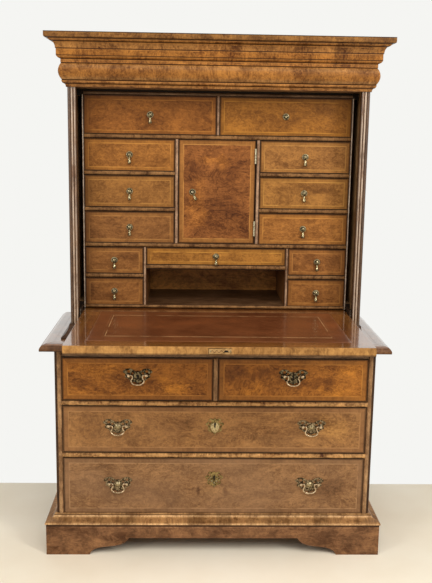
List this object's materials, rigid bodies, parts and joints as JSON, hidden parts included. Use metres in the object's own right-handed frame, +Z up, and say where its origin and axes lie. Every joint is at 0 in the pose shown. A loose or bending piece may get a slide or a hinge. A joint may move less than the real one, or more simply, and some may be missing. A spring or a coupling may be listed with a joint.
{
  "type": "fall-front writing desk",
  "caption": "Walnut fall-front writing cabinet on a chest of drawers: leather-lined fall, nest of small drawers round a centre door, cushion-frieze cornice and bracket plinth.",
  "frame": {"origin": "on the floor, under the middle of the desk with its fall open", "axes": "+X to the right as one faces the desk, -Y out of its front, +Z up"},
  "size_m": [1.05, 0.767, 1.568],
  "materials": {
    "walnut": "polished veneer",
    "crossband": "polished crossbanding",
    "oak": "dry unpolished board",
    "leather": "tooled hide",
    "brass": "old lacquered brass"
  },
  "bodies": {
    "case": {"plinth": "walnut", "plinth_moulding": "walnut", "base_boards": "oak", "base_sides": "walnut", "base_rails": "walnut", "base_back": "oak", "base_top": "walnut", "waist_moulding": "walnut", "foot_moulding": "walnut", "upper_sides": "walnut", "columns": "walnut", "upper_back": "oak", "cornice_frame": "oak", "cornice_frieze": "walnut", "cornice_crown": "walnut", "nest_boards": "walnut", "door_hinges": "brass"},
    "fall_cradle": {"fall_pivots": "brass"},
    "fall": {"fall_panel": "walnut", "fall_edging": "crossband", "fall_leather": "leather", "fall_lock_plate": "brass"},
    "door": {"door_panel": "walnut", "door_fittings": "brass"},
    "drop_door": {"drop_door": "brass"},
    "base_drawer_top_left": {"base_drawer_top_left": "walnut"},
    "base_bail_top_left": {"base_bail_top_left": "brass"},
    "base_drawer_top_right": {"base_drawer_top_right": "walnut"},
    "base_bail_top_right": {"base_bail_top_right": "brass"},
    "base_drawer_middle": {"base_drawer_middle": "walnut"},
    "base_bail_middle_left": {"base_bail_middle_left": "brass"},
    "base_bail_middle_right": {"base_bail_middle_right": "brass"},
    "base_drawer_bottom": {"base_drawer_bottom": "walnut"},
    "base_bail_bottom_left": {"base_bail_bottom_left": "brass"},
    "base_bail_bottom_right": {"base_bail_bottom_right": "brass"},
    "drawer_wide_left": {"drawer_wide_left": "walnut"},
    "drop_wide_left": {"drop_wide_left": "brass"},
    "drawer_row1_left": {"drawer_row1_left": "walnut"},
    "drop_row1_left": {"drop_row1_left": "brass"},
    "drawer_row2_left": {"drawer_row2_left": "walnut"},
    "drop_row2_left": {"drop_row2_left": "brass"},
    "drawer_row3_left": {"drawer_row3_left": "walnut"},
    "drop_row3_left": {"drop_row3_left": "brass"},
    "drawer_small_upper_left": {"drawer_small_upper_left": "walnut"},
    "drop_small_upper_left": {"drop_small_upper_left": "brass"},
    "drawer_small_lower_left": {"drawer_small_lower_left": "walnut"},
    "drop_small_lower_left": {"drop_small_lower_left": "brass"},
    "drawer_wide_right": {"drawer_wide_right": "walnut"},
    "drawer_row1_right": {"drawer_row1_right": "walnut"},
    "drop_row1_right": {"drop_row1_right": "brass"},
    "drawer_row2_right": {"drawer_row2_right": "walnut"},
    "drop_row2_right": {"drop_row2_right": "brass"},
    "drawer_row3_right": {"drawer_row3_right": "walnut"},
    "drop_row3_right": {"drop_row3_right": "brass"},
    "drawer_small_upper_right": {"drawer_small_upper_right": "walnut"},
    "drop_small_upper_right": {"drop_small_upper_right": "brass"},
    "drawer_small_lower_right": {"drawer_small_lower_right": "walnut"},
    "drop_small_lower_right": {"drop_small_lower_right": "brass"},
    "drawer_centre": {"drawer_centre": "walnut"},
    "drop_centre": {"drop_centre": "brass"}
  },
  "joints": [
    {"name": "fall_turn", "type": "hinge", "parent": "case", "child": "fall_cradle", "pos_m": [0, 0.046, 0.754], "axis": [1, 0, 0], "range_deg": [-90, 0]},
    {"name": "fall_draw", "type": "slide", "parent": "fall_cradle", "child": "fall", "axis": [0, -1, 0], "range_m": [0, 0.233]},
    {"name": "door_turn", "type": "hinge", "parent": "case", "child": "door", "pos_m": [0.1167, 0.1025, 1.1125], "axis": [0, 0, 1], "range_deg": [0, 90]},
    {"name": "drop_door_swing", "type": "hinge", "parent": "door", "child": "drop_door", "pos_m": [-0.076, 0.0966, 1.1125], "axis": [-1, 0, 0], "range_deg": [0, 60]},
    {"name": "base_drawer_top_left_slide", "type": "slide", "parent": "case", "child": "base_drawer_top_left", "axis": [0, -1, 0], "range_m": [0, 0.3]},
    {"name": "base_bail_top_left_swing", "type": "hinge", "parent": "base_drawer_top_left", "child": "base_bail_top_left", "pos_m": [-0.236, -0.0561, 0.571], "axis": [-1, 0, 0], "range_deg": [0, 95]},
    {"name": "base_drawer_top_right_slide", "type": "slide", "parent": "case", "child": "base_drawer_top_right", "axis": [0, -1, 0], "range_m": [0, 0.3]},
    {"name": "base_bail_top_right_swing", "type": "hinge", "parent": "base_drawer_top_right", "child": "base_bail_top_right", "pos_m": [0.236, -0.0561, 0.571], "axis": [-1, 0, 0], "range_deg": [0, 95]},
    {"name": "base_drawer_middle_slide", "type": "slide", "parent": "case", "child": "base_drawer_middle", "axis": [0, -1, 0], "range_m": [0, 0.3]},
    {"name": "base_bail_middle_left_swing", "type": "hinge", "parent": "base_drawer_middle", "child": "base_bail_middle_left", "pos_m": [-0.297, -0.0561, 0.411], "axis": [-1, 0, 0], "range_deg": [0, 95]},
    {"name": "base_bail_middle_right_swing", "type": "hinge", "parent": "base_drawer_middle", "child": "base_bail_middle_right", "pos_m": [0.297, -0.0561, 0.411], "axis": [-1, 0, 0], "range_deg": [0, 95]},
    {"name": "base_drawer_bottom_slide", "type": "slide", "parent": "case", "child": "base_drawer_bottom", "axis": [0, -1, 0], "range_m": [0, 0.3]},
    {"name": "base_bail_bottom_left_swing", "type": "hinge", "parent": "base_drawer_bottom", "child": "base_bail_bottom_left", "pos_m": [-0.297, -0.0561, 0.224], "axis": [-1, 0, 0], "range_deg": [0, 95]},
    {"name": "base_bail_bottom_right_swing", "type": "hinge", "parent": "base_drawer_bottom", "child": "base_bail_bottom_right", "pos_m": [0.297, -0.0561, 0.224], "axis": [-1, 0, 0], "range_deg": [0, 95]},
    {"name": "drawer_wide_left_slide", "type": "slide", "parent": "case", "child": "drawer_wide_left", "axis": [0, -1, 0], "range_m": [0, 0.15]},
    {"name": "drop_wide_left_swing", "type": "hinge", "parent": "drawer_wide_left", "child": "drop_wide_left", "pos_m": [-0.2065, 0.0966, 1.344], "axis": [-1, 0, 0], "range_deg": [0, 60]},
    {"name": "drawer_row1_left_slide", "type": "slide", "parent": "case", "child": "drawer_row1_left", "axis": [0, -1, 0], "range_m": [0, 0.15]},
    {"name": "drop_row1_left_swing", "type": "hinge", "parent": "drawer_row1_left", "child": "drop_row1_left", "pos_m": [-0.2695, 0.0966, 1.2235], "axis": [-1, 0, 0], "range_deg": [0, 60]},
    {"name": "drawer_row2_left_slide", "type": "slide", "parent": "case", "child": "drawer_row2_left", "axis": [0, -1, 0], "range_m": [0, 0.15]},
    {"name": "drop_row2_left_swing", "type": "hinge", "parent": "drawer_row2_left", "child": "drop_row2_left", "pos_m": [-0.2695, 0.0966, 1.1125], "axis": [-1, 0, 0], "range_deg": [0, 60]},
    {"name": "drawer_row3_left_slide", "type": "slide", "parent": "case", "child": "drawer_row3_left", "axis": [0, -1, 0], "range_m": [0, 0.15]},
    {"name": "drop_row3_left_swing", "type": "hinge", "parent": "drawer_row3_left", "child": "drop_row3_left", "pos_m": [-0.2695, 0.0966, 1.0015], "axis": [-1, 0, 0], "range_deg": [0, 60]},
    {"name": "drawer_small_upper_left_slide", "type": "slide", "parent": "case", "child": "drawer_small_upper_left", "axis": [0, -1, 0], "range_m": [0, 0.15]},
    {"name": "drop_small_upper_left_swing", "type": "hinge", "parent": "drawer_small_upper_left", "child": "drop_small_upper_left", "pos_m": [-0.3175, 0.0966, 0.8975], "axis": [-1, 0, 0], "range_deg": [0, 60]},
    {"name": "drawer_small_lower_left_slide", "type": "slide", "parent": "case", "child": "drawer_small_lower_left", "axis": [0, -1, 0], "range_m": [0, 0.15]},
    {"name": "drop_small_lower_left_swing", "type": "hinge", "parent": "drawer_small_lower_left", "child": "drop_small_lower_left", "pos_m": [-0.3175, 0.0966, 0.799], "axis": [-1, 0, 0], "range_deg": [0, 60]},
    {"name": "drawer_wide_right_slide", "type": "slide", "parent": "case", "child": "drawer_wide_right", "axis": [0, -1, 0], "range_m": [0, 0.15]},
    {"name": "drawer_row1_right_slide", "type": "slide", "parent": "case", "child": "drawer_row1_right", "axis": [0, -1, 0], "range_m": [0, 0.15]},
    {"name": "drop_row1_right_swing", "type": "hinge", "parent": "drawer_row1_right", "child": "drop_row1_right", "pos_m": [0.2695, 0.0966, 1.2235], "axis": [-1, 0, 0], "range_deg": [0, 60]},
    {"name": "drawer_row2_right_slide", "type": "slide", "parent": "case", "child": "drawer_row2_right", "axis": [0, -1, 0], "range_m": [0, 0.15]},
    {"name": "drop_row2_right_swing", "type": "hinge", "parent": "drawer_row2_right", "child": "drop_row2_right", "pos_m": [0.2695, 0.0966, 1.1125], "axis": [-1, 0, 0], "range_deg": [0, 60]},
    {"name": "drawer_row3_right_slide", "type": "slide", "parent": "case", "child": "drawer_row3_right", "axis": [0, -1, 0], "range_m": [0, 0.15]},
    {"name": "drop_row3_right_swing", "type": "hinge", "parent": "drawer_row3_right", "child": "drop_row3_right", "pos_m": [0.2695, 0.0966, 1.0015], "axis": [-1, 0, 0], "range_deg": [0, 60]},
    {"name": "drawer_small_upper_right_slide", "type": "slide", "parent": "case", "child": "drawer_small_upper_right", "axis": [0, -1, 0], "range_m": [0, 0.15]},
    {"name": "drop_small_upper_right_swing", "type": "hinge", "parent": "drawer_small_upper_right", "child": "drop_small_upper_right", "pos_m": [0.3175, 0.0966, 0.8975], "axis": [-1, 0, 0], "range_deg": [0, 60]},
    {"name": "drawer_small_lower_right_slide", "type": "slide", "parent": "case", "child": "drawer_small_lower_right", "axis": [0, -1, 0], "range_m": [0, 0.15]},
    {"name": "drop_small_lower_right_swing", "type": "hinge", "parent": "drawer_small_lower_right", "child": "drop_small_lower_right", "pos_m": [0.3175, 0.0966, 0.799], "axis": [-1, 0, 0], "range_deg": [0, 60]},
    {"name": "drawer_centre_slide", "type": "slide", "parent": "case", "child": "drawer_centre", "axis": [0, -1, 0], "range_m": [0, 0.15]},
    {"name": "drop_centre_swing", "type": "hinge", "parent": "drawer_centre", "child": "drop_centre", "pos_m": [0, 0.0966, 0.912], "axis": [-1, 0, 0], "range_deg": [0, 60]}
  ],
  "couplings": [
    {"joint": "fall_draw", "follows": "fall_turn", "m_per_rad": -0.14833}
  ]
}
